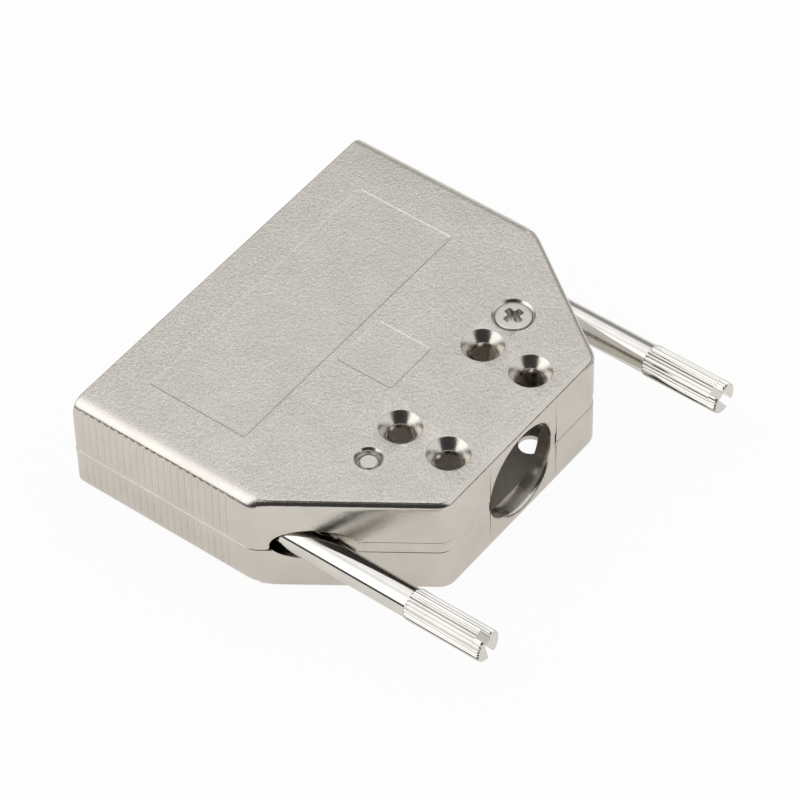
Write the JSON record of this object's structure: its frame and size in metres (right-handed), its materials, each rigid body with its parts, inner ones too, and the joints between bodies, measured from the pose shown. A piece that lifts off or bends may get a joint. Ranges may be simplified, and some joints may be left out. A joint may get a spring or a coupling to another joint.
{
  "type": "d-sub hood",
  "caption": "Die-cast metal hood that closes around a D-sub connector and leads its cable out of the back, with captive knurled jackscrews.",
  "frame": {"origin": "centre of the mating face, midway between the jackscrew axes and between the top and bottom faces", "axes": "+Y out of the hood towards the mating connector, +X along the row of pins from the left to the right jackscrew, +Z from the lower to the upper shell"},
  "size_m": [0.0556, 0.059, 0.0148],
  "materials": {
    "die_cast_nickel": "nickel-plated zinc casting, satin on the flat faces and brighter on the sides",
    "screw_nickel": "satin nickel plate on steel",
    "jackscrew_nickel": "bright nickel plate on turned steel",
    "ring_steel": "plain spring steel"
  },
  "bodies": {
    "hood": {"upper_shell": "die_cast_nickel", "lower_shell": "die_cast_nickel", "assembly_screw_top": "screw_nickel", "assembly_screw_bottom": "screw_nickel"},
    "ring_left": {"retaining_ring_left": "ring_steel"},
    "screw_left": {"jackscrew_left": "jackscrew_nickel"},
    "ring_right": {"retaining_ring_right": "ring_steel"},
    "screw_right": {"jackscrew_right": "jackscrew_nickel"}
  },
  "joints": [
    {"name": "left_push", "type": "slide", "parent": "hood", "child": "ring_left", "axis": [0, 1, 0], "range_m": [0, 0.005]},
    {"name": "left_turn", "type": "hinge", "parent": "ring_left", "child": "screw_left", "pos_m": [-0.02352, -0.01595, 0], "axis": [0, 1, 0], "continuous": true},
    {"name": "right_push", "type": "slide", "parent": "hood", "child": "ring_right", "axis": [0, 1, 0], "range_m": [0, 0.005]},
    {"name": "right_turn", "type": "hinge", "parent": "ring_right", "child": "screw_right", "pos_m": [0.02352, -0.01595, 0], "axis": [0, 1, 0], "continuous": true}
  ]
}
